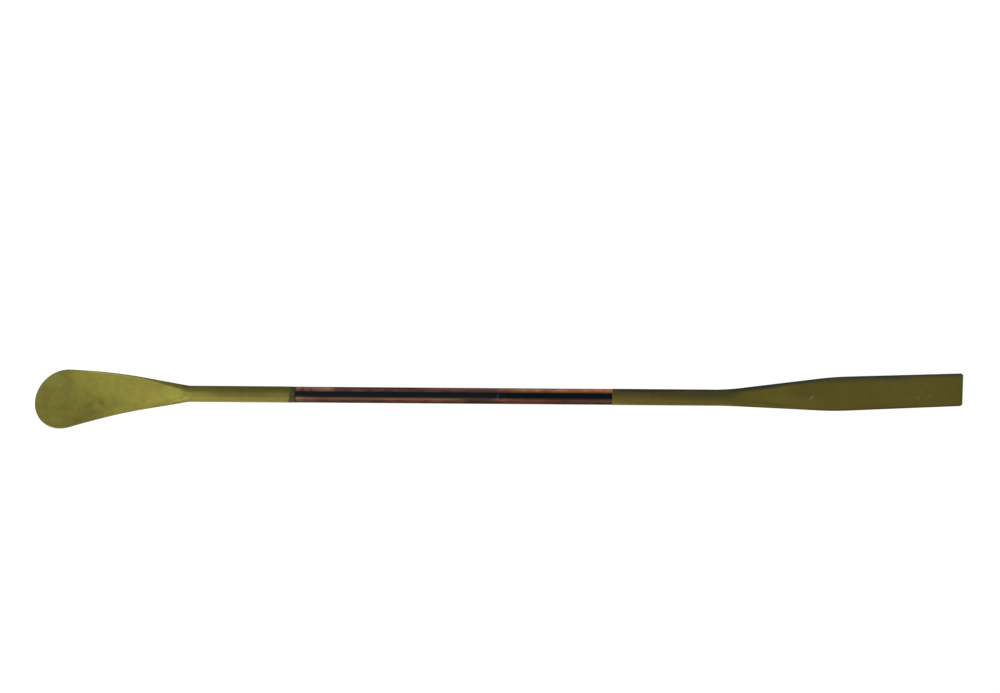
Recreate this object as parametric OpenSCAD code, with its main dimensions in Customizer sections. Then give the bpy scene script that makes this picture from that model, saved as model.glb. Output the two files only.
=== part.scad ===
// Double-ended laboratory spatula, forged in one piece from a round steel rod.
// The spoon is at -X and the flat blade at +X, with +Z up. The rod, the undersides of
// both necks and the flat blade lie on z = 0, and the box of the whole part is centred
// on X and Y. Both ends carry a thin baked coating that stops short of the bare grip.

/* [Stem] */
// Diameter of the bare rod
rod_d = 3.6; // [2.5:0.1:5]
// Thickness of the coating on the two ends
coat_t = 0.04; // [0.03:0.01:0.1]
// Length of the bare polished grip
grip_l = 71.5; // [40:0.5:110]
// Length of coated round stem between the grip and the spoon's neck
spoon_stem_l = 23.5; // [5:0.5:60]
// Length of coated round stem between the grip and the flat blade's neck
flat_stem_l = 23; // [5:0.5:60]

/* [Spoon end] */
// Length of the spoon end, from the root of its neck to its tip
spoon_l = 35.5; // [28:0.5:60]
// Width of the spoon's round head
spoon_w = 13.25; // [9:0.1:18]
// Thickness of the spoon's head
spoon_t = 0.7; // [0.5:0.05:1.2]
// Length over which the rod's side curves into the neck's taper
spoon_root_l = 1.5; // [0.5:0.5:8]
// Length at the tip end over which the spoon curves sideways
spoon_bend_l = 24.5; // [12:0.5:26]
// How far the tip is carried sideways, towards -Y
spoon_bend = 2.3; // [0:0.1:4]

/* [Bowl] */
// Distance from the tip to the place from which the bowl's sides are fully curled up
bowl_l = 8; // [5:0.5:14]
// Length before that place over which the sides come to curl up
curl_l = 10; // [5:0.5:15]
// How far the bowl's middle lies beside the spoon's middle line, towards +Y
bowl_aside = 1.5; // [-2:0.1:2]
// How far the sides curl up, at half the head's width from the bowl's middle
side_rise = 0.4; // [0:0.05:2]
// Distance along the rod's line from the tip to the bend from which the tip turns up
tip_l = 12.5; // [6:0.5:18]
// Length over which that bend is rounded
tip_round = 5; // [1:0.5:10]
// Rise of the turned-up tip over its run
tip_slope = 0.145; // [0:0.005:0.4]
// Angle by which the bend lies askew, which turns the tip up more on its -Y side
tip_turn = 40; // [0:5:60]

/* [Flat end] */
// Length of the flat end, from the root of its neck to its cut end
flat_l = 56.5; // [40:0.5:90]
// Length of its taper, from the root of the neck to the full width
flat_taper_l = 30; // [12:0.5:36]
// Length at each end of the taper over which its sides curve
flat_curve_l = 6; // [1:0.5:6]
// Width of the flat blade where the taper ends
flat_w = 7.75; // [6:0.05:12]
// Width of the flat blade at its cut end
flat_end_w = 7.4; // [6:0.05:12]
// Thickness of the flat blade where the taper ends
flat_t = 1.1; // [0.8:0.05:1.6]
// Thickness of the flat blade at its cut end
flat_end_t = 0.9; // [0.6:0.05:1.6]
// Angle by which the flat blade leans from the rod's line, towards +Y
flat_lean = 2.35; // [0:0.05:5]
// Angle by which its end is cut out of square
cut_angle = 1.4; // [0:0.1:5]
// Radius of the corners of the cut end
corner_r = 0.6; // [0.3:0.05:1]
// Height of the flat ground on the cut end, between its rounded arrises
end_land = 0.4; // [0.2:0.05:0.5]

/* [Hammered sides] */
// Share of half the thickness by which the sides bulge where the metal is flat
side_bulge = 0.35; // [0.2:0.05:1]
// Extra width over height, beside a round's, at which the metal counts as flat
flat_ratio = 4; // [0.5:0.5:10]

/* [Hidden] */
$fn = 96;

// Facets of a section: steps round each edge and across each face
edge_n = 8;
face_n = 14;
ring_n = 2 * (edge_n + face_n);
// Steps along the spoon's neck and head, the flat end's taper and blade, and its rounded end
neck_n = 34;
head_n = 24;
taper_n = 22;
blade_n = 5;
end_n = 6;
// Last ring of the head, as an angle round it, just short of the tip
last_turn = 86;
// How far the bare rod runs on inside each coated end
rod_in = 2;

stem_r = rod_d / 2 + coat_t;
total_l = spoon_l + spoon_stem_l + grip_l + flat_stem_l + flat_l;
grip_x = spoon_l + spoon_stem_l - total_l / 2;
spoon_root_x = grip_x - spoon_stem_l;
flat_root_x = grip_x + grip_l + flat_stem_l;

// ---- rules of change along the length

// 0 to 1 with a gentle start and end
function ease(t) = let (c = max(0, min(1, t))) c * c * (3 - 2 * c);

// Distance run, for something that takes a length l to come up to its full rate
function soft_start(a, l) = a <= 0 ? 0 : a < l ? a * a / (2 * l) : a - l / 2;

// 0 to 1 along a straight ramp, curved over the share r at each end
function soft_ramp(t, r) =
    let (c = max(0, min(1, t)))
    (c < r ? c * c / (2 * r) : c < 1 - r ? c - r / 2 : 1 - r - pow(1 - c, 2) / (2 * r)) / (1 - r);

// Thickness of the hammered metal where it has spread to the half width hw. It thins as it
// spreads, from the round stem down to the thickness full_t at the half width full_hw.
function spread_t(hw, full_hw, full_t) =
    let (gain = (2 * stem_r - full_t) / (1 / stem_r - 1 / full_hw))
    full_t + gain * (1 / hw - 1 / full_hw);

// ---- sections

// Angle round the edge, and place across the face from 1 to -1, of point i of a flat section
function edge_angle(i) =
    i <= edge_n ? 180 * i / edge_n - 90
    : i <= edge_n + face_n ? 90
    : i <= ring_n - face_n ? 180 * (i - face_n) / edge_n - 90
    : 270;
function across(i) =
    i <= edge_n ? 1
    : i <= edge_n + face_n ? 1 - 2 * (i - edge_n) / face_n
    : i <= ring_n - face_n ? -1
    : 2 * (i - ring_n + face_n) / face_n - 1;

// A section in the plane of Y and Z, about its own middle. hw is its half width, face_hw that
// of its flat faces and e half its thickness. It goes from the round of the rod to two flat
// faces with rounded edges as the faces grow.
function section(hw, face_hw, e) =
    let (flatness = ease(2 * face_hw / hw))
    [for (i = [0 : ring_n - 1])
        let (
            round_angle = 360 * (i - edge_n / 2) / ring_n,
            angle = round_angle + flatness * (edge_angle(i) - round_angle)
        )
        [face_hw * across(i) + (hw - face_hw) * cos(angle), e * sin(angle)]
    ];

// The sides bulge by the rod's own round at first, and less as the metal is hammered flat
function hammered_section(hw, e) =
    let (flatness = ease((hw / e - 1) / flat_ratio))
    section(hw, hw - e * (1 - (1 - side_bulge) * flatness), e);

// ---- spoon end, with the distance a from the root of its neck

head_r = spoon_w / 2;
head_a = spoon_l - head_r;
head_e = spoon_t / 2;
// The neck's side is the line from the root that touches the head's circle
neck_run = head_a - spoon_root_l / 2;
neck_angle = asin(head_r / norm([neck_run, stem_r])) - atan(stem_r / neck_run);
touch_a = head_a - head_r * sin(neck_angle);

function neck_hw(a) = stem_r + tan(neck_angle) * soft_start(a, spoon_root_l);

// Sideways place of the spoon's middle line
function spoon_y(a) =
    let (t = max(0, 1 - (spoon_l - a) / spoon_bend_l))
    -spoon_bend * t * t * (3 - t) / 2;

// Height of the sheet's underside. The neck and the bowl's middle lie level with the rod's
// underside. The sides curl up on both sides of the bowl's middle, and past a rounded bend
// across the head the tip turns up.
function sheet_z(a, y) =
    let (
        aside = y - spoon_y(a) - bowl_aside,
        past_bend = (a - spoon_l + tip_l) * cos(tip_turn) - y * sin(tip_turn)
    )
    side_rise * ease(1 + (a - spoon_l + bowl_l) / curl_l) * pow(aside / head_r, 2)
    + tip_slope * soft_start(past_bend + tip_round / 2, tip_round);

// One ring of the spoon, with its section's middle at the height mid_z over the underside
function spoon_ring(a, points, mid_z) =
    [for (s = points)
        let (y = spoon_y(a) + s[0])
        [a, y, mid_z + s[1] + sheet_z(a, y)]
    ];

function spoon_neck_ring(a) =
    let (hw = neck_hw(a), e = spread_t(hw, head_r * cos(neck_angle), spoon_t) / 2)
    spoon_ring(a, hammered_section(hw, e), e);

// Round the head the flat faces stop short of the rim by its bulge
function head_ring(turn) =
    let (
        bulge = side_bulge * head_e,
        out = head_r * sin(turn),
        hw = head_r * cos(turn),
        face_hw = sqrt(max(0, pow(head_r - bulge, 2) - out * out)),
        e = head_e * sqrt(1 - pow(max(0, 1 - (head_r - out) / bulge), 2))
    )
    spoon_ring(head_a + out, section(hw, face_hw, e), head_e);

spoon_rings = [
    spoon_ring(-spoon_stem_l, section(stem_r, 0, stem_r), stem_r),
    for (i = [0 : neck_n - 1]) spoon_neck_ring(touch_a * i / neck_n),
    for (i = [0 : head_n]) head_ring(-neck_angle + (last_turn + neck_angle) * i / head_n)
];

// ---- flat end, with the distance a from the root of its neck

arris_r = (flat_end_t - end_land) / 2;
blade_a = flat_l - corner_r;

// How far along its taper and along its parallel stretch the blade is, from 0 to 1
function taper_at(a) = soft_ramp(a / flat_taper_l, flat_curve_l / flat_taper_l);
function past_taper(a) = max(0, a - flat_taper_l) / (flat_l - flat_taper_l);

function flat_y(a) = tan(flat_lean) * soft_start(a, flat_curve_l);

// Loss of size at the distance d from an end that is rounded with the radius r
function rounded_off(d, r) = d < r ? r - sqrt(r * r - pow(r - d, 2)) : 0;

function flat_ring(a) =
    let (
        spread_hw = stem_r + (flat_w / 2 - stem_r) * taper_at(a),
        mid_z = spread_t(spread_hw, flat_w / 2, flat_t) / 2
            + (flat_end_t - flat_t) / 2 * past_taper(a),
        hw = spread_hw + (flat_end_w - flat_w) / 2 * past_taper(a)
            - rounded_off(flat_l - a, corner_r),
        e = mid_z - rounded_off(flat_l - a, arris_r),
        lean = tan(cut_angle) * past_taper(a)
    )
    [for (s = hammered_section(hw, e))
        [a + lean * s[0], flat_y(a) + s[0], mid_z + s[1]]
    ];

flat_rings = [
    [for (s = section(stem_r, 0, stem_r)) [-flat_stem_l, s[0], stem_r + s[1]]],
    for (i = [0 : taper_n]) flat_ring(flat_taper_l * i / taper_n),
    for (i = [1 : blade_n - 1]) flat_ring(flat_taper_l + (blade_a - flat_taper_l) * i / blade_n),
    for (i = [0 : end_n]) flat_ring(blade_a + corner_r * sin(90 * i / end_n))
];

// The part's middle line across, from the widest points of both ends
all_y = [for (rings = [spoon_rings, flat_rings], ring = rings, p = ring) p[1]];
mid_y = (min(all_y) + max(all_y)) / 2;

// ---- solids

// A closed skin over rings of points, the first and last of which are its end faces. An end
// face starts at the outermost point of its edge, off the line of either flat face.
module loft(rings) {
    last = len(rings) - 1;
    end_face = [for (j = [0 : ring_n - 1]) (j + edge_n / 2) % ring_n];
    polyhedron(
        points = [for (ring = rings) each ring],
        faces = [
            end_face,
            for (i = [0 : last - 1], j = [0 : ring_n - 1])
                let (k = (j + 1) % ring_n, here = i * ring_n, next = here + ring_n)
                each [[here + j, next + j, here + k], [next + j, next + k, here + k]],
            [for (j = [ring_n - 1 : -1 : 0]) last * ring_n + end_face[j]]
        ]
    );
}

module bare_rod() {
    translate([grip_x - rod_in, 0, stem_r])
        rotate([0, 90, 0])
            cylinder(d = rod_d, h = grip_l + 2 * rod_in);
}

module spoon_end() {
    translate([spoon_root_x, 0, 0])
        mirror([1, 0, 0])
            loft(spoon_rings);
}

module flat_end() {
    translate([flat_root_x, 0, 0])
        loft(flat_rings);
}

module spatula() {
    translate([0, -mid_y, 0])
        union() {
            color("peru") bare_rod();
            color("darkolivegreen") spoon_end();
            color("darkolivegreen") flat_end();
        }
}

spatula();
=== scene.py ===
from math import asin, atan, cos, hypot, pi, radians, sin, sqrt, tan

import bmesh
import bpy
from mathutils import Euler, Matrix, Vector, noise


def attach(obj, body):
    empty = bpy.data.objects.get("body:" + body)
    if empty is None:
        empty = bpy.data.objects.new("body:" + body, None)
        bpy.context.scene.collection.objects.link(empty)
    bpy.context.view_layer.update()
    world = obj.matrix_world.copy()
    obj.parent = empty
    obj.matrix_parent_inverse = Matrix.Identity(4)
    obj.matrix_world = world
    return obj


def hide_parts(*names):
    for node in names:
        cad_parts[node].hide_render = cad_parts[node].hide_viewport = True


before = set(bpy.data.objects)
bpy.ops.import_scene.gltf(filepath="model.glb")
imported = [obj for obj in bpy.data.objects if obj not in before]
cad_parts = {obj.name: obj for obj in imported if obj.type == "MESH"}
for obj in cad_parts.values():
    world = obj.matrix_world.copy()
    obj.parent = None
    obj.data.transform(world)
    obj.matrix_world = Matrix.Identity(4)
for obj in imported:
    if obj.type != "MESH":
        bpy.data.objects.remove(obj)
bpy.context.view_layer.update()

# Double-ended lab spatula: a coated spoon end, a bare heat-tinted grip and a coated flat
# end. It lies along X, with the spoon at -X, and +Y is its far side. Sizes are in
# millimetres and repeat the solid's own, and meshes are in metres.
MM = 0.001

# ---- sizes of the solid

# Rod and coat, and where the bare grip and the two round stems beside it lie
ROD_R, COAT_T = 1.8, 0.04
STEM_R = ROD_R + COAT_T
GRIP_X, GRIP_L = -46.0, 71.5
SPOON_STEM_L, FLAT_STEM_L = 23.5, 23.0
SPOON_ROOT_X = GRIP_X - SPOON_STEM_L
FLAT_ROOT_X = GRIP_X + GRIP_L + FLAT_STEM_L
STEM_Y = 1.0974  # the stem's middle line beside the middle of the whole box

# Spoon end: its length and thickness, the soft start of its neck, and its round head
SPOON_L, SPOON_T, SPOON_ROOT_L = 35.5, 0.7, 1.5
HEAD_R = 13.25 / 2
SPOON_BEND_L, SPOON_BEND = 24.5, 2.3  # the last stretch, over which it bends aside, and how far
BOWL_L, CURL_L = 8.0, 10.0  # where the sides are curled up fully, and the stretch before it
BOWL_ASIDE, SIDE_RISE = 1.5, 0.4
TIP_L, TIP_ROUND = 12.5, 5.0  # the tip that turns up, and the round bend that it starts with
TIP_SLOPE, TIP_TURN = 0.145, radians(40)

# Flat end: its lengths, its widths and thicknesses after the taper and at the cut end
FLAT_L, FLAT_TAPER_L, FLAT_CURVE_L = 56.5, 30.0, 6.0
FLAT_W, FLAT_END_W = 7.75, 7.4
FLAT_T, FLAT_END_T = 1.1, 0.9
FLAT_LEAN, CUT_ANGLE = radians(2.35), radians(1.4)
CORNER_R, ARRIS_R = 0.6, 0.25

SIDE_BULGE = 0.35  # how far the sides of a flat section bulge, as a share of half its thickness
FLAT_RATIO = 4.0  # a section this much wider than high, over a round one, counts as flat

# ---- finer steps of the skins

# Points round a section: along each edge and across each face
EDGE_N, FACE_N = 20, 35
RING_N = 2 * (EDGE_N + FACE_N)

# Rings along each stretch
FEATHER_N, STEM_N, SPOON_NECK_N, HEAD_N = 12, 30, 84, 72
LIP_N, TAPER_N, BLADE_N, CORNER_N = 6, 76, 40, 12
GRIP_N = 150

FEATHER_L, FEATHER_T = 1.8, 0.004  # where the coat thins out beside the grip, and its last film
FEATHER_GAP, LIP_GAP = 1.0, 0.5  # from the coat's end rings to the stem's first ring
LAST_TURN = radians(88.5)  # the last ring of the head, just short of the very tip
HIDDEN_L = 2.0  # how far the rod runs on inside each coated end
HAMMERED_RATIO = 0.7  # the same as FLAT_RATIO for the finish and for the hammer's dents
DENT_DEPTH, DENT_L = 0.02, 3.5  # depth of the hammer's faint dents, and their spacing
WELD = 1e-7  # points of a skin that lie nearer than this are sewn into one, in metres


# ---- rules of change along the length


def ease(t):
    """0 to 1 with a gentle start and end."""
    c = max(0.0, min(1.0, t))
    return c * c * (3 - 2 * c)


def soft_start(run, length):
    """Distance gone by something that takes that length to come up to its full rate."""
    if run <= 0:
        return 0.0
    return run * run / (2 * length) if run < length else run - length / 2


def soft_ramp(t, curved):
    """0 to 1 along a straight ramp, which is curved over that share at each end."""
    c = max(0.0, min(1.0, t))
    if c < curved:
        gone = c * c / (2 * curved)
    elif c < 1 - curved:
        gone = c - curved / 2
    else:
        gone = 1 - curved - (1 - c) ** 2 / (2 * curved)
    return gone / (1 - curved)


def spread_t(half_w, full_half_w, full_t):
    """Thickness of the hammered metal where it has spread to that half width."""
    gain = (2 * STEM_R - full_t) / (1 / STEM_R - 1 / full_half_w)
    return full_t + gain * (1 / half_w - 1 / full_half_w)


def rounded_off(distance, r):
    """Loss of size at that distance from an end that is rounded with the radius r."""
    return r - sqrt(r * r - (r - distance) ** 2) if distance < r else 0.0


def steps(start, end, n):
    """n stations from start up to, but without, end."""
    return [start + (end - start) * i / n for i in range(n)]


# ---- sections, as lists of points (y, z) about their own middle


def edge_angle(i):
    """Angle round the edge of point i of a flat section."""
    if i <= EDGE_N:
        return pi * i / EDGE_N - pi / 2
    if i <= EDGE_N + FACE_N:
        return pi / 2
    if i <= RING_N - FACE_N:
        return pi * (i - FACE_N) / EDGE_N - pi / 2
    return 1.5 * pi


def across(i):
    """Place of point i across the face, from 1 to -1."""
    if i <= EDGE_N:
        return 1.0
    if i <= EDGE_N + FACE_N:
        return 1 - 2 * (i - EDGE_N) / FACE_N
    if i <= RING_N - FACE_N:
        return -1.0
    return 2 * (i - RING_N + FACE_N) / FACE_N - 1


def section(half_w, face_half_w, half_t):
    """Anything from the rod's round, with no face, to a flat bar with bulging sides."""
    flatness = ease(2 * face_half_w / half_w)
    points = []
    for i in range(RING_N):
        round_angle = 2 * pi * (i - EDGE_N / 2) / RING_N
        angle = round_angle + flatness * (edge_angle(i) - round_angle)
        y = face_half_w * across(i) + (half_w - face_half_w) * cos(angle)
        points.append((y, half_t * sin(angle)))
    return points


def round_section(r):
    """The rod's own round."""
    return section(r, 0, r)


def hammered_section(half_w, half_t):
    """Its sides bulge by the rod's own round at first, and less as it is hammered flat."""
    flatness = ease((half_w / half_t - 1) / FLAT_RATIO)
    bulge = half_t * (1 - (1 - SIDE_BULGE) * flatness)
    return section(half_w, half_w - bulge, half_t)


# ---- stems: rings of points (x, y, z)


def stem_ring(x, r):
    """A ring of the round stem, lying on the plane that the rod's underside is on."""
    return [(x, y + STEM_Y, z + STEM_R) for y, z in round_section(r)]


# ---- spoon end, with the distance a from the root of its neck

HEAD_A = SPOON_L - HEAD_R
NECK_RUN = HEAD_A - SPOON_ROOT_L / 2
NECK_ANGLE = asin(HEAD_R / hypot(NECK_RUN, STEM_R)) - atan(STEM_R / NECK_RUN)
TOUCH_A = HEAD_A - HEAD_R * sin(NECK_ANGLE)


def spoon_y(a):
    """How far the spoon's middle line has bent aside."""
    t = max(0.0, 1 - (SPOON_L - a) / SPOON_BEND_L)
    return -SPOON_BEND * t * t * (3 - t) / 2


def sheet_z(a, y):
    """Height of the sheet's underside, with its sides curled up and its tip turned up."""
    aside = y - spoon_y(a) - BOWL_ASIDE
    past = (a - SPOON_L + TIP_L) * cos(TIP_TURN) - y * sin(TIP_TURN)
    curl = SIDE_RISE * ease(1 + (a - SPOON_L + BOWL_L) / CURL_L) * (aside / HEAD_R) ** 2
    return curl + TIP_SLOPE * soft_start(past + TIP_ROUND / 2, TIP_ROUND)


def spoon_ring(a, points, mid_z):
    """A ring of the spoon: the section's points, bent aside and lifted with the sheet."""
    ring = []
    for across_y, up in points:
        y = spoon_y(a) + across_y
        ring.append((SPOON_ROOT_X - a, y + STEM_Y, mid_z + up + sheet_z(a, y)))
    return ring


def spoon_neck_ring(a):
    """A ring of the neck, whose sides run straight on to touch the round head."""
    half_w = STEM_R + tan(NECK_ANGLE) * soft_start(a, SPOON_ROOT_L)
    half_t = spread_t(half_w, HEAD_R * cos(NECK_ANGLE), SPOON_T) / 2
    return spoon_ring(a, hammered_section(half_w, half_t), half_t)


def spoon_head_ring(turn):
    """A ring of the head, at that turn round its circle from its widest place."""
    half_t = SPOON_T / 2
    bulge = SIDE_BULGE * half_t
    out = HEAD_R * sin(turn)
    half_w = HEAD_R * cos(turn)
    face_half_w = sqrt(max(0.0, (HEAD_R - bulge) ** 2 - out * out))
    rim_half_t = half_t * sqrt(1 - max(0.0, 1 - (HEAD_R - out) / bulge) ** 2)
    return spoon_ring(HEAD_A + out, section(half_w, face_half_w, rim_half_t), half_t)


# ---- flat end, with the distance a from the root of its neck


def flat_ring(a):
    """A ring of the flat end, leaning aside and turning square to its cut end."""
    past = max(0.0, a - FLAT_TAPER_L) / (FLAT_L - FLAT_TAPER_L)
    grown = soft_ramp(a / FLAT_TAPER_L, FLAT_CURVE_L / FLAT_TAPER_L)
    spread_half_w = STEM_R + (FLAT_W / 2 - STEM_R) * grown
    mid_z = spread_t(spread_half_w, FLAT_W / 2, FLAT_T) / 2 + (FLAT_END_T - FLAT_T) / 2 * past
    to_end = max(0.0, FLAT_L - a)
    half_w = spread_half_w + (FLAT_END_W - FLAT_W) / 2 * past - rounded_off(to_end, CORNER_R)
    half_t = mid_z - rounded_off(to_end, ARRIS_R)
    askew = tan(CUT_ANGLE) * past
    middle_y = tan(FLAT_LEAN) * soft_start(a, FLAT_CURVE_L) + STEM_Y
    return [
        (FLAT_ROOT_X + a + askew * y, middle_y + y, mid_z + z)
        for y, z in hammered_section(half_w, half_t)
    ]


# ---- skins


def flattened(ring):
    """0 for a round ring, up to 1 for one that is hammered flat."""
    wide = max(p[1] for p in ring) - min(p[1] for p in ring)
    high = max(p[2] for p in ring) - min(p[2] for p in ring)
    return ease((wide / high - 1) / HAMMERED_RATIO)


def placed(name, bm):
    """An object in the scene with that shape, at the origin."""
    mesh = bpy.data.meshes.new(name)
    bm.to_mesh(mesh)
    bm.free()
    piece = bpy.data.objects.new(name, mesh)
    bpy.context.scene.collection.objects.link(piece)
    return piece


def skin(name, rings):
    """A closed skin: a sheet with a row for each ring, rolled into the rings and sewn.

    For the finishes it keeps how flat each ring is, and each point's distances in mm
    from the far and the near edge.
    """
    bm = bmesh.new()
    bm.loops.layers.uv.new("skin")
    bmesh.ops.create_grid(
        bm, x_segments=RING_N, y_segments=len(rings) - 1, size=0.5, calc_uvs=True
    )
    spread = bm.verts.layers.float.new("spread")
    from_far = bm.verts.layers.float.new("from_far")
    from_near = bm.verts.layers.float.new("from_near")
    for v in bm.verts:
        i = round((v.co.x + 0.5) * RING_N) % RING_N
        ring = rings[round((v.co.y + 0.5) * (len(rings) - 1))]
        at = Vector(ring[i])
        v[spread] = flattened(ring)
        v[from_far] = max(p[1] for p in ring) - at.y
        v[from_near] = at.y - min(p[1] for p in ring)
        dent = 0.5 + 0.5 * noise.noise(at / DENT_L)
        at.z -= DENT_DEPTH * dent * v[spread] * max(0.0, sin(edge_angle(i)))
        v.co = at * MM
    bmesh.ops.remove_doubles(bm, verts=bm.verts, dist=WELD)
    for f in bm.faces:
        f.smooth = True
    ends = [e for e in bm.edges if e.is_boundary]
    bmesh.ops.holes_fill(bm, edges=ends, sides=0)
    bmesh.ops.recalc_face_normals(bm, faces=bm.faces)
    return placed(name, bm)


def spoon_end():
    """From the coat's feathered edge over the stem and the neck to the spoon's tip."""
    rings = []
    for i in range(FEATHER_N + 1):
        t = i / FEATHER_N
        r = ROD_R + FEATHER_T + (COAT_T - FEATHER_T) * ease(t)
        rings.append(stem_ring(GRIP_X - FEATHER_L * t, r))
    stem_start = GRIP_X - FEATHER_L - FEATHER_GAP
    rings += [stem_ring(x, STEM_R) for x in steps(stem_start, SPOON_ROOT_X, STEM_N)]
    rings += [spoon_neck_ring(a) for a in steps(0, TOUCH_A, SPOON_NECK_N)]
    rings += [spoon_head_ring(turn) for turn in steps(-NECK_ANGLE, LAST_TURN, HEAD_N)]
    rings.append(spoon_head_ring(LAST_TURN))
    return skin("spoon_end", rings)


def flat_end():
    """From the coat's rounded lip over the stem and the neck to the blade's cut end."""
    lip_x = GRIP_X + GRIP_L
    rings = []
    for i in range(LIP_N + 1):
        turn = pi / 2 * i / LIP_N
        rings.append(stem_ring(lip_x + COAT_T * (1 - cos(turn)), ROD_R + COAT_T * sin(turn)))
    rings += [stem_ring(x, STEM_R) for x in steps(lip_x + LIP_GAP, FLAT_ROOT_X, STEM_N)]
    rings += [flat_ring(a) for a in steps(0, FLAT_TAPER_L, TAPER_N)]
    corner_a = FLAT_L - CORNER_R
    rings += [flat_ring(a) for a in steps(FLAT_TAPER_L, corner_a, BLADE_N)]
    for i in range(CORNER_N + 1):
        rings.append(flat_ring(corner_a + CORNER_R * sin(radians(90 * i / CORNER_N))))
    return skin("flat_end", rings)


def bare_grip():
    """The bare rod, with its ends inside the two coated ends."""
    start, end = GRIP_X - HIDDEN_L, GRIP_X + GRIP_L + HIDDEN_L
    rings = [stem_ring(x, ROD_R) for x in steps(start, end, GRIP_N)]
    rings.append(stem_ring(end, ROD_R))
    return skin("bare_grip", rings)


# ---- shader maths


class Wire:
    """A node's output, so that sums on it read as plain arithmetic and add Math nodes.

    Without a socket it only adds nodes to its tree.
    """

    def __init__(self, tree, socket=None):
        self.tree = tree
        self.socket = socket

    def node(self, kind, settings, sockets, out=0):
        """Adds a node with its settings and its sockets' values or links, and gives an output."""
        made = self.tree.nodes.new(kind)
        for name, value in settings.items():
            setattr(made, name, value)
        for name, value in sockets.items():
            if isinstance(value, Wire):
                self.tree.links.new(value.socket, made.inputs[name])
            else:
                made.inputs[name].default_value = value
        return Wire(self.tree, made.outputs[out])

    def maths(self, operation, first, second):
        """A Math node on two values."""
        return self.node("ShaderNodeMath", {"operation": operation}, {0: first, 1: second})

    def __add__(self, other):
        return self.maths("ADD", self, other)

    def __sub__(self, other):
        return self.maths("SUBTRACT", self, other)

    def __mul__(self, other):
        return self.maths("MULTIPLY", self, other)

    def __truediv__(self, other):
        return self.maths("DIVIDE", self, other)

    def __radd__(self, other):
        return self.maths("ADD", other, self)

    def __rsub__(self, other):
        return self.maths("SUBTRACT", other, self)

    def __rmul__(self, other):
        return self.maths("MULTIPLY", other, self)

    def __rtruediv__(self, other):
        return self.maths("DIVIDE", other, self)

    def away(self, middle):
        """How far this is from the middle value, either way."""
        return self.maths("ABSOLUTE", self - middle, 0.0)

    def rise(self, start, end, low=0.0, high=1.0):
        """low up to start, high from end on, and a smooth rise between them."""
        return self.node(
            "ShaderNodeMapRange",
            {"interpolation_type": "SMOOTHSTEP"},
            {"Value": self, "From Min": start, "From Max": end, "To Min": low, "To Max": high},
        )

    def fall(self, start, end):
        """1 up to start, 0 from end on, and a smooth fall between them."""
        return self.rise(start, end, 1.0, 0.0)

    def between(self, start, full, going, gone):
        """0 up to start and from gone on, 1 from full to going, and smooth between them."""
        return self.rise(start, full) * self.fall(going, gone)

    def mixed(self, first, second):
        """The first colour where this is 0 and the second where it is 1."""
        return self.node("ShaderNodeMix", {"data_type": "RGBA"}, {0: self, 6: first, 7: second}, 2)

    def along(self, axis):
        """One axis of these coordinates."""
        return self.node("ShaderNodeSeparateXYZ", {}, {"Vector": self}, axis)

    def attribute(self, name):
        """What the skin keeps under that name."""
        return self.node("ShaderNodeAttribute", {"attribute_name": name}, {}, "Fac")

    def ragged(self, scale, reach):
        """These coordinates, pushed about so that what is drawn on them has uneven borders."""
        push = self.node("ShaderNodeTexNoise", {}, {"Vector": self, "Scale": scale}, "Color")
        return self.node(
            "ShaderNodeVectorMath",
            {"operation": "MULTIPLY_ADD"},
            {0: push, 1: (reach, reach, reach), 2: self},
        )

    def mark(self, x, y, half_l, half_w, turn=0.0):
        """1 in the middle of an oval mark, placed and sized in mm, and 0 from its rim on."""
        local = self.node(
            "ShaderNodeMapping",
            {"vector_type": "TEXTURE"},
            {
                "Vector": self,
                "Location": (x * MM, y * MM, 0),
                "Rotation": (0, 0, radians(turn)),
                "Scale": (half_l * MM, half_w * MM, 1),
            },
        )
        reach = self.node("ShaderNodeVectorMath", {"operation": "LENGTH"}, {0: local}, "Value")
        return reach.fall(0.2, 1.0)

    def grain(self, scale, detail=2.0, rough=0.5, stretch=(1, 1, 1)):
        """Noise on these coordinates, with grains of about 1 / scale metres."""
        at = self
        if stretch != (1, 1, 1):
            at = self.node("ShaderNodeMapping", {}, {"Vector": self, "Scale": stretch})
        return self.node(
            "ShaderNodeTexNoise",
            {},
            {"Vector": at, "Scale": scale, "Detail": detail, "Roughness": rough},
        )

    def bump(self, strength, depth):
        """The normal of a surface with this relief."""
        return self.node(
            "ShaderNodeBump",
            {},
            {"Strength": strength, "Distance": depth, "Height": self},
            "Normal",
        )


def paint(r, g, b):
    """A colour as it is seen on a screen, from 0 to 255, as the numbers that a shader takes."""
    def linear(c):
        c /= 255
        return c / 12.92 if c <= 0.04045 else ((c + 0.055) / 1.055) ** 2.4
    return (linear(r), linear(g), linear(b), 1.0)


def grey(level):
    """A shader's colour that is the same in red, green and blue."""
    return (level, level, level, 1.0)


def finish_of(name, fixed):
    """A new material, its Principled shader with the fixed values, and its coordinates."""
    material = bpy.data.materials.new(name)
    material.use_nodes = True
    shader = material.node_tree.nodes["Principled BSDF"]
    for socket, value in fixed.items():
        shader.inputs[socket].default_value = value
    wire = Wire(material.node_tree)
    at = wire.node("ShaderNodeTexCoord", {}, {}, "Object")
    return material, shader, at


def plug(wire, shader, socket):
    """Links a wire to a socket of a shader."""
    wire.tree.links.new(wire.socket, shader.inputs[socket])


def layered(colour, *layers):
    """The colour with each layer, given as its share and its tint, laid over it in turn."""
    for share, tint in layers:
        colour = share.mixed(colour, tint)
    return colour


def tints(along, first, *changes):
    """The first tint, changed to each next one between its start and its end along the rod."""
    colour = paint(*first)
    for start, end, tint in changes:
        colour = along.rise(start, end).mixed(colour, paint(*tint))
    return colour


# ---- finishes
#
# Places are in mm: x and y in the part's own frame, and from_far and from_near inwards from
# the far and the near edge. Each layer's share says where it lies and how strong it is.

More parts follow.
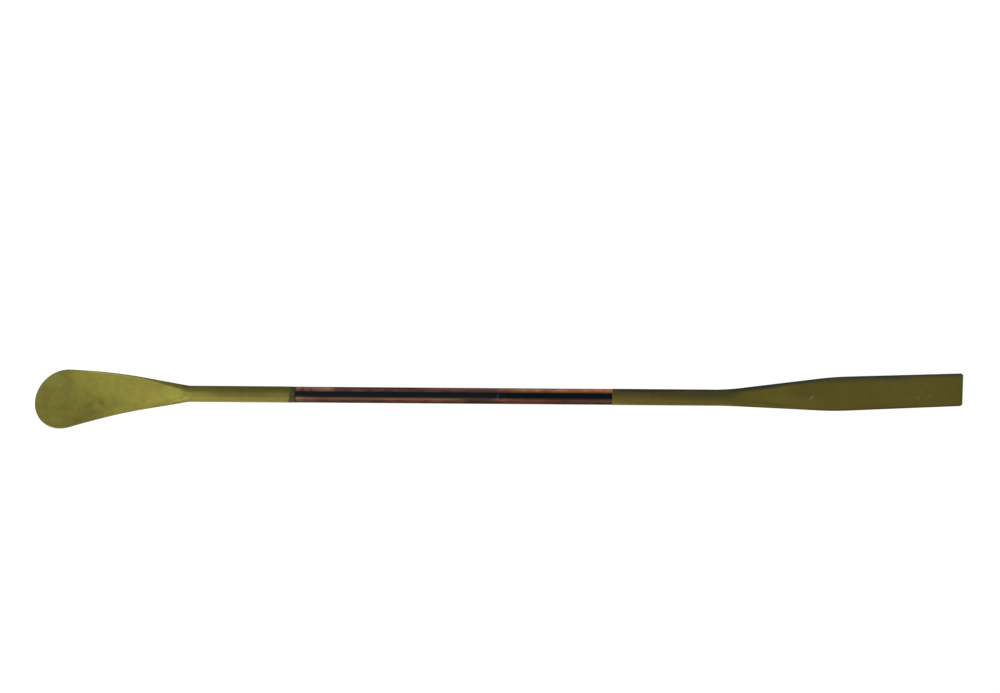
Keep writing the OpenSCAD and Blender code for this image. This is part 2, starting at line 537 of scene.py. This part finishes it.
COAT_FIXED = {"Metallic": 0.3, "Specular IOR Level": 0.4, "Specular Tint": paint(190, 180, 80)}
COAT_ROUGH = 0.46
PEEL_DEPTH, SCORE_DEPTH = 0.00002, 0.000005  # relief of the coat and of the polished rod, in m

BROWN = paint(66, 52, 26)  # the coat where it is baked darkest, and the colour of painted shade on the coat
# SLATE is the colour of painted shade along the far side of the blade's end
SLATE = paint(42, 54, 62)
RED_BROWN = paint(70, 38, 26)
BARE = paint(24, 24, 24)  # smoke on the bare rod
BAND_START, BAND_END = -47.1, -46.7  # where the coat thins beside the grip
TOP_Y = 1.22  # the middle of the dark stripe along the grip


def coat_base(name, flats, stem, speckle):
    """The coat's shader, and its colour, with painted light that leaves it darker round the stem
    than on the flats, and mottled all over.
    """
    coat, shader, at = finish_of(name, COAT_FIXED)
    spread = at.attribute("spread")
    from_near = at.attribute("from_near")
    blotch = at.grain(420, 3, 0.6).rise(0.36, 0.66)
    cloud = at.grain(110, 2, 0.5).rise(0.35, 0.65)
    fleck = at.grain(1300, 2, 0.6).rise(0.35, 0.65)
    streak = at.grain(1200, 2, 0.6, (0.12, 1, 1)).rise(0.4, 0.6)
    low_side = from_near.fall(0.3, 1.1)
    # near_rim lays a lighter painted sheen along the near edge of the round stem: painted light.
    near_rim = from_near.fall(0.05, 0.55)
    rust = at.grain(1000, 3, 0.7).rise(0.42, 0.62)
    moss = at.grain(1500, 2, 0.6).rise(0.45, 0.62)
    # The flats are painted lighter than the round stem, as painted light.
    colour = layered(
        spread.mixed(stem, flats),
        (0.06 * cloud + 0.08 * blotch + 0.08 * fleck, BROWN),
        (0.1 * streak * (1 - spread), BROWN),
        (0.5 * low_side * (1 - spread), paint(98, 90, 14)),
        (0.36 * near_rim * (1 - spread), paint(177, 168, 120)),
        (speckle * rust, paint(134, 84, 42)),
        (0.8 * speckle * moss, paint(86, 116, 46)),
    )
    plug(COAT_ROUGH + 0.05 * blotch + 0.04 * fleck, shader, "Roughness")
    peel = at.grain(1700, 2, 0.5) + 0.4 * at.grain(600, 2, 0.5)
    plug(peel.bump(0.3, PEEL_DEPTH), shader, "Normal")
    return coat, shader, at, colour


def spoon_coat():
    """Olive coat, blotched and smudged brown in the bowl, with painted shade and painted light on
    the head, the neck and the stem, and thin beside the grip.
    """
    coat, shader, at, colour = coat_base(
        "spoon_coat", paint(108, 104, 45), paint(102, 98, 44), 0.14
    )
    x = at.along("X") / MM
    round_part = 1 - at.attribute("spread")
    from_far, from_near = at.attribute("from_far"), at.attribute("from_near")

    # Smudges in the bowl, partly painted shade, with painted light on the head and painted shade
    # before the bowl
    in_bowl = x.fall(-96, -87)
    blotch = at.grain(330, 3, 0.65).rise(0.44, 0.58)
    green = at.grain(520, 2, 0.6).rise(0.46, 0.62)
    uneven = at.ragged(700, 0.0006)
    # The smudges are brown stains and also painted shade of the bowl's walls.
    smudges_and_shade = (
        0.13 * uneven.mark(-91.7, -1.4, 3.6, 3.0)
        + 0.3 * uneven.mark(-89.6, -0.9, 2.5, 0.75, -54)
        + 0.18 * uneven.mark(-92.7, 1.0, 1.8, 0.8, -20)
        + 0.2 * uneven.mark(-92.5, -1.3, 1.7, 0.8, 29)
        + 0.25 * uneven.mark(-91.6, -2.8, 1.5, 0.7)
        + 0.16 * uneven.mark(-95.0, -4.5, 1.3, 0.9)
        + 0.14 * uneven.mark(-96.0, -0.4, 1.7, 0.8)
        + 0.12 * uneven.mark(-86.5, -0.6, 0.9, 1.6)
    )
    pale = uneven.mark(-90.8, -1.4, 1.0, 0.9) + uneven.mark(-99.6, -4.7, 2.6, 1.3, -10)
    # Paler patches on the head's far side and by its tip: painted light.
    painted_light_on_head = 0.14 * uneven.mark(-100.2, 4.2, 3.6, 2.5) + 0.05 * uneven.mark(-98.2, -5.2, 2.6, 1.3)
    # A dark patch on the neck before the bowl: painted shade.
    painted_shade_before_bowl = (
        0.23 * uneven.mark(-87.3, -0.6, 5.2, 2.6)
        + 0.15 * uneven.mark(-84.0, -1.7, 6.0, 2.4, 11)
    )

    # Painted light and painted shade along the edges and the top of the neck and the stem
    # Lighter colour along the far edge of the lip and of the neck's turn: painted light.
    painted_light_far_lip = from_far.fall(0.1, 0.6) * x.between(-96, -91, -74.5, -70.5)
    painted_light_far_turn = from_far.fall(0.2, 0.9) * x.between(-79.5, -77, -74.5, -72.5)
    # Darker colour along the far rim and the far half by the rod: painted shade.
    painted_shade_neck_rim = from_far.fall(0.1, 0.7) * x.between(-77, -73, -68, -52)
    painted_shade_by_rod = from_far.fall(0.8, 3.0) * x.between(-79.5, -75.5, -73.0, -71.0)
    above = from_near.rise(0.4, 1.5)
    # fold and crest make the upper side of the neck and the stem lighter, as painted light.
    fold = from_near.rise(0.6, 1.8) * x.between(-76.5, -73.5, -72.5, -70.5)
    crest = above * x.between(-71.2, -69.2, -67.5, -60.5)
    # Darker colour along the near edge of the neck: painted shade.
    painted_shade_near_edge = (1 - above) * x.between(-80, -77, -70.5, -68)
    # A darker line along the top of the round stem: painted shade.
    painted_shade_top_line = round_part * from_far.between(1.1, 1.5, 2.1, 2.6) * x.between(-67, -63, -55, -49)

    # The dull band where the coat thins out, and the smoke on the rod beside it
    beyond = at.along("Y") / MM - STEM_Y
    thin = (at.ragged(900, 0.0008).along("X") / MM - 0.15 * beyond).rise(BAND_START, BAND_END)
    dull = beyond.rise(-0.7, 1.1).mixed(paint(40, 36, 28), paint(66, 66, 55))
    bare = (at.ragged(1200, 0.0006).along("X") / MM).rise(-46.4, -45.7)

    colour = layered(
        colour,
        (0.17 * in_bowl * blotch, BROWN),
        (0.25 * in_bowl * green, paint(96, 108, 52)),
        (smudges_and_shade, BROWN),
        (0.14 * pale, paint(142, 138, 74)),
        (painted_light_on_head, paint(156, 162, 92)),
        (painted_shade_before_bowl, paint(56, 62, 20)),
        (0.4 * painted_light_far_lip, paint(158, 154, 74)),
        (0.5 * painted_light_far_turn, paint(150, 146, 68)),
        (0.5 * painted_shade_neck_rim, paint(92, 52, 38)),
        (0.2 * painted_shade_by_rod, BROWN),
        (0.22 * fold + 0.3 * crest, paint(134, 130, 60)),
        (0.22 * painted_shade_near_edge, BROWN),
        (0.22 * painted_shade_top_line, BROWN),
        (0.8 * thin, dull),
        (0.35 * bare, BARE),
    )
    plug(colour, shader, "Base Color")
    return coat


def blade_coat():
    """Browner olive coat, with a slate far edge of painted shade, a red-brown near one, pale
    nicks, and painted light and shade on the neck and the stem.
    """
    coat, shader, at, colour = coat_base(
        "blade_coat", paint(126, 114, 51), paint(106, 97, 47), 0.24
    )
    x = at.along("X") / MM
    spread = at.attribute("spread")
    round_part = 1 - spread
    from_far, from_near = at.attribute("from_far"), at.attribute("from_near")
    # patchy makes the painted shade of the far rim and the red-brown near rim uneven.
    patchy = 0.7 + 0.3 * at.grain(500, 2, 0.5, (0.3, 1, 1)).rise(0.4, 0.6)

    # Far side and top: painted shade
    rimmed = 0.4 + 0.2 * spread + 0.25 * spread * x.fall(90, 98)
    far_rim = patchy * from_far.fall(0.0, 1.1)
    far_band = from_far.between(0.2, 0.6, 0.7, 1.9) * x.between(67, 78, 90, 95)
    dark_neck = from_far.fall(0.5, 1.3) * x.between(50.5, 53.5, 61, 67.5)
    shade = round_part * from_far.fall(0.0, 2.8)
    stem_rim = from_far.fall(0.3, 0.9) * x.between(25.5, 29, 38, 42)
    painted_shade_top_line = from_near.rise(0.8, 1.4) * from_far.rise(0.7, 1.3)
    # A darker colour along the middle of the blade's stem: painted shade.
    painted_top_shade = 0.19 * x.between(33, 37, 48, 51) + 0.07 * x.between(44, 47, 48, 51)

    # Near side, with painted light and painted shade on the neck and by the lip
    neck = x.between(50.5, 54.5, 63.5, 68)
    near_rim = patchy * spread * from_near.fall(0.1, 0.5)
    near_band = from_near.fall(0.6, 1.6) * x.between(78, 83, 94, 99)
    low_stem = from_near.fall(0.4, 1.1) * x.between(29, 33, 48, 52)
    # by_lip makes the near side by the lip lighter, as painted light.
    by_lip = from_near.fall(0.3, 0.9) * x.fall(26, 30)

    uneven = at.ragged(2500, 0.0004)
    nicks = (
        uneven.mark(70.85, 1.45, 0.9, 0.42, 35)
        + 0.4 * uneven.mark(95.0, 1.57, 0.7, 0.62)
        + 0.4 * uneven.mark(97.45, 1.95, 0.55, 0.55)
    )
    colour = layered(
        colour,
        # Painted light on the upper part of the neck and in a patch along it, and painted shade
        # along its near edge.
        (0.3 * neck * from_near.rise(0.8, 2.0), paint(152, 140, 62)),
        (0.28 * at.mark(67.0, -0.1, 9.5, 2.3), paint(154, 138, 62)),
        (0.26 * neck * from_near.fall(0.5, 1.5), BROWN),
        (0.08 * spread * x.fall(78, 98), BROWN),
        (0.12 * near_band, BROWN),
        # Painted shade along the far side and by the lip:
        (rimmed * far_rim, SLATE),
        (0.3 * far_band, SLATE),
        (0.5 * dark_neck, SLATE),
        (0.2 * shade, SLATE),
        (0.4 * stem_rim, paint(30, 30, 24)),
        (painted_top_shade * painted_shade_top_line, paint(44, 52, 44)),
        (0.6 * near_rim, RED_BROWN),
        (0.2 * low_stem, paint(80, 66, 10)),
        (0.25 * by_lip, paint(140, 130, 50)),
        (0.45 * nicks, paint(160, 166, 140)),
    )
    plug(colour, shader, "Base Color")
    return coat


def tinted_steel():
    """Polished steel with the copper and brown tints of the oven that baked the coat, and painted
    glints and painted shade along the stripes that it mirrors.
    """
    steel, shader, at = finish_of("tinted_steel", {"Metallic": 1.0})
    x, y = at.along("X") / MM, at.along("Y") / MM
    wander = at.grain(260, 3, 0.6, (0.3, 1, 1))
    along = x + 8 * (wander - 0.5)

    # Tints of the far side, the near side and the dark stripe between them
    far = layered(
        tints(along, (150, 103, 91), (-27.5, -24.5, (146, 92, 80)), (-9.0, -6.0, (150, 91, 80))),
        (
            0.75 * at.mark(-40.6, 2.2, 5.6, 3.0)
            + 0.45 * at.mark(-45.4, 2.2, 1.1, 3.0)
            + 0.35 * at.mark(0.4, 2.3, 1.5, 2.0),
            paint(212, 150, 116),
        ),
        (along.rise(-1.0, 8.5), paint(220, 150, 103)),
        (along.rise(11.0, 14.5), paint(240, 150, 93)),
    )
    near = tints(
        along,
        (209, 163, 126),
        (-45.5, -41.5, (173, 119, 89)),
        (-29.0, -17.0, (195, 132, 99)),
        (-9.9, -6.9, (120, 96, 84)),
        (-3.0, 2.0, (209, 134, 106)),
        (8.2, 10.5, (193, 119, 98)),
        (11.5, 15.0, (162, 112, 93)),
        (18.5, 21.0, (169, 119, 95)),
    )
    beyond = y.rise(0.6, 1.6)
    top = y.away(TOP_Y).fall(0.5, 0.8)
    top_tint = tints(x, (160, 114, 95), (-4.0, 3.0, (124, 90, 77)))

    # Mottling, dark flecks, and lighter and darker lines along the rod, which are a painted glint
    # and painted shade
    mottle = at.grain(800, 3, 0.6, (0.4, 1, 1)).rise(0.42, 0.62)
    blush = at.grain(1000, 2, 0.5, (0.5, 1, 1)).rise(0.52, 0.66)
    uneven = at.ragged(1500, 0.0004)
    flecks = (
        uneven.mark(-44.3, 2.3, 0.75, 1.3)
        + 0.6 * uneven.mark(-42.3, 2.3, 0.6, 1.2)
        + 0.55 * uneven.mark(-36.5, 2.3, 0.8, 1.2)
        + 0.4 * uneven.mark(-28.9, 2.4, 1.0, 1.0)
        + 0.4 * uneven.mark(-25.5, 2.1, 0.7, 1.0)
    )
    # A lighter line along the near half of the rod: a painted glint.
    painted_glint_line = y.between(-0.12, 0.12, 0.32, 0.6) * x.between(-45.0, -43.0, -12.0, -8.0)
    low_shade = y.fall(-0.25, 0.0) * x.between(-40.0, -34.0, -12.0, -8.0)
    far_share = 0.42 * x.rise(-20.0, -14.0) + 0.27 * x.rise(2.0, 9.0)
    far_shade = y.between(1.6, 1.85, 2.05, 2.3) * far_share
    near_shade = y.rise(0.05, 0.5) * x.rise(-2.0, 8.0) * (1 - beyond)
    # A bright spot by the spoon's coat: a painted glint.
    painted_glint_by_coat = at.mark(-45.3, 0.5, 1.7, 1.0)
    scratch = at.mark(-0.4, 1.1, 1.2, 0.5, 72)

    colour = layered(
        beyond.mixed(near, far),
        (0.35 * mottle, paint(76, 54, 62)),
        ((0.2 + 0.25 * beyond) * blush, paint(204, 100, 78)),
        (0.5 * flecks, paint(60, 30, 34)),
        (x.rise(-30.0, -26.0, 0.22, 0.42) * painted_glint_line, paint(245, 165, 122)),
        (0.2 * low_shade, paint(60, 50, 45)),
        (far_shade, paint(112, 99, 79)),
        (0.65 * near_shade, paint(60, 58, 54)),
        (top, top_tint),
        (0.48 * painted_glint_by_coat, paint(255, 185, 130)),
        (0.3 * x.fall(-46.0, -45.7), BARE),
        (0.5 * scratch, paint(125, 170, 195)),
    )
    plug(colour, shader, "Base Color")
    lines = at.grain(4000, 2, 0.6, (0.01, 1, 1))
    plug(0.05 + 0.05 * lines + 0.1 * scratch, shader, "Roughness")
    plug((lines - 3 * scratch).bump(0.2, SCORE_DEPTH), shader, "Normal")
    return steel


# ---- the three pieces

spoon, grip, flat = spoon_end(), bare_grip(), flat_end()
finishes = {
    spoon: ("coated_steel", spoon_coat()),
    grip: ("tinted_steel", tinted_steel()),
    flat: ("coated_steel", blade_coat()),
}
for piece, (slot, finish) in finishes.items():
    piece.data.materials.append(finish)
    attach(piece, "root")
    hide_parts("spatula")


# ---- floor, light and camera

FLOOR_HALF = 3.0  # half the floor's width, in metres
FLOOR_DROP = 0.0001  # how far below the part it lies, in metres
SEEN_GLOW = 0.95  # how bright the floor looks by itself, beside the light that falls on it
MIRRORED_GLOW = 0.3  # the same in reflections, as bright as the walls
PAPER_WHITE = grey(0.8)  # for the light that the paper throws on the part
PAPER_SHADE = grey(0.15)  # for what is seen of the paper, so that the part's shadow shows
CEILING = (0.02, 0.064, 0.105, 1.0)
FAR_WALL = grey(0.31)
NEAR_WALL_LOW, NEAR_WALL_HIGH = 0.14, 0.32  # how bright the near wall is low down and higher up


def floor():
    """White paper. In the mirror of the rod it is darker close beside the part, as a painted
    shadow that reaches further beside some stretches of the rod.
    """
    bm = bmesh.new()
    bmesh.ops.create_grid(bm, x_segments=1, y_segments=1, size=FLOOR_HALF)
    bmesh.ops.translate(bm, verts=bm.verts, vec=(0, 0, -FLOOR_DROP))
    plane = placed("floor", bm)
    paper = bpy.data.materials.new("white_paper")
    paper.use_nodes = True
    plane.data.materials.append(paper)
    tree = paper.node_tree
    tree.nodes.remove(tree.nodes["Principled BSDF"])
    wire = Wire(tree)
    by_camera = wire.node("ShaderNodeLightPath", {}, {}, "Is Camera Ray")
    by_gloss = wire.node("ShaderNodeLightPath", {}, {}, "Is Glossy Ray")
    by_glass = wire.node("ShaderNodeLightPath", {}, {}, "Is Transmission Ray")
    at = wire.node("ShaderNodeTexCoord", {}, {}, "Object")
    x, y = at.along("X") / MM, at.along("Y") / MM
    # dim and coated widen and darken that painted shadow beside these stretches of the rod.
    dim = x.between(-40.0, -35.0, -21.0, -16.0)
    coated = x.rise(25.5, 30.0) + x.fall(-50.0, -46.0)
    far_full = 8.0 + 12.0 * (dim + coated)
    far_side = y.rise(3.0, far_full, 0.0, 1.2 - 0.45 * dim - 0.2 * coated)
    near_side = (0 - y).rise(4.0, 90.0)
    mirrored = MIRRORED_GLOW * (by_gloss + by_glass) * (far_side + near_side)
    glow = wire.node("ShaderNodeEmission", {}, {"Color": SEEN_GLOW * by_camera + mirrored})
    white = wire.node("ShaderNodeBsdfDiffuse", {}, {"Color": PAPER_WHITE})
    shade = wire.node("ShaderNodeBsdfDiffuse", {}, {"Color": PAPER_SHADE})
    seen = wire.node("ShaderNodeAddShader", {}, {0: shade, 1: glow})
    both = wire.node(
        "ShaderNodeMixShader", {}, {0: by_camera + by_gloss + by_glass, 1: white, 2: seen}
    )
    plug(both, tree.nodes["Material Output"], "Surface")


def room():
    """White walls all round and a dark ceiling, which polished metal shows as a dark band."""
    world = bpy.data.worlds.new("room")
    world.use_nodes = True
    bpy.context.scene.world = world
    tree = world.node_tree
    wire = Wire(tree)
    way = wire.node("ShaderNodeTexCoord", {}, {}, "Generated")
    y, z = way.along("Y"), way.along("Z")
    lean = y / z.rise(0.0, 1.0, 0.001, 1.0)
    on_far_wall = lean.rise(1.05, 1.6)
    on_near_wall = (0 - lean).rise(0.26, 0.95)
    near_wall = z.rise(0.12, 0.42, NEAR_WALL_LOW, NEAR_WALL_HIGH)
    colour = on_near_wall.mixed(on_far_wall.mixed(CEILING, FAR_WALL), near_wall)
    by_camera = wire.node("ShaderNodeLightPath", {}, {}, "Is Camera Ray")
    plug(by_camera.mixed(colour, grey(1.0)), tree.nodes["Background"], "Color")


def lamp(name, at, aim, width, height, watts):
    """A rectangular lamp at one place, aimed at another. All sizes are in metres."""
    light = bpy.data.lights.new(name, "AREA")
    light.shape = "RECTANGLE"
    light.size, light.size_y, light.energy = width, height, watts
    made = bpy.data.objects.new(name, light)
    made.location = at
    made.rotation_euler = (Vector(aim) - Vector(at)).to_track_quat("-Z", "Y").to_euler()
    bpy.context.scene.collection.objects.link(made)


floor()
room()
AIM = (-0.05, 0.0, 0.0)  # the place on the rod that both lamps are aimed at
lamp("window", (-0.20, -0.17, 0.065), AIM, 0.16, 0.09, 0.9)
lamp("panel", (-0.26, 0.05, 0.36), AIM, 0.2, 0.2, 1.3)

LENS, SENSOR = 85.0, 36.0
CLIP_START, CLIP_END = 0.01, 20.0
VIEW_W = 226.12  # width of the view at the level of the stem's middle
VIEW_X, VIEW_Y, VIEW_TURN = 0.06, 12.31, radians(0.424)  # where the camera looks down from

scene = bpy.context.scene
lens = bpy.data.cameras.new("camera")
lens.lens, lens.sensor_width = LENS, SENSOR
lens.clip_start, lens.clip_end = CLIP_START, CLIP_END
camera = bpy.data.objects.new("camera", lens)
camera.location = Vector((VIEW_X, VIEW_Y, STEM_R + VIEW_W * LENS / SENSOR)) * MM
camera.rotation_euler = Euler((0, 0, VIEW_TURN))
scene.collection.objects.link(camera)
scene.camera = camera
scene.view_settings.view_transform = "Standard"
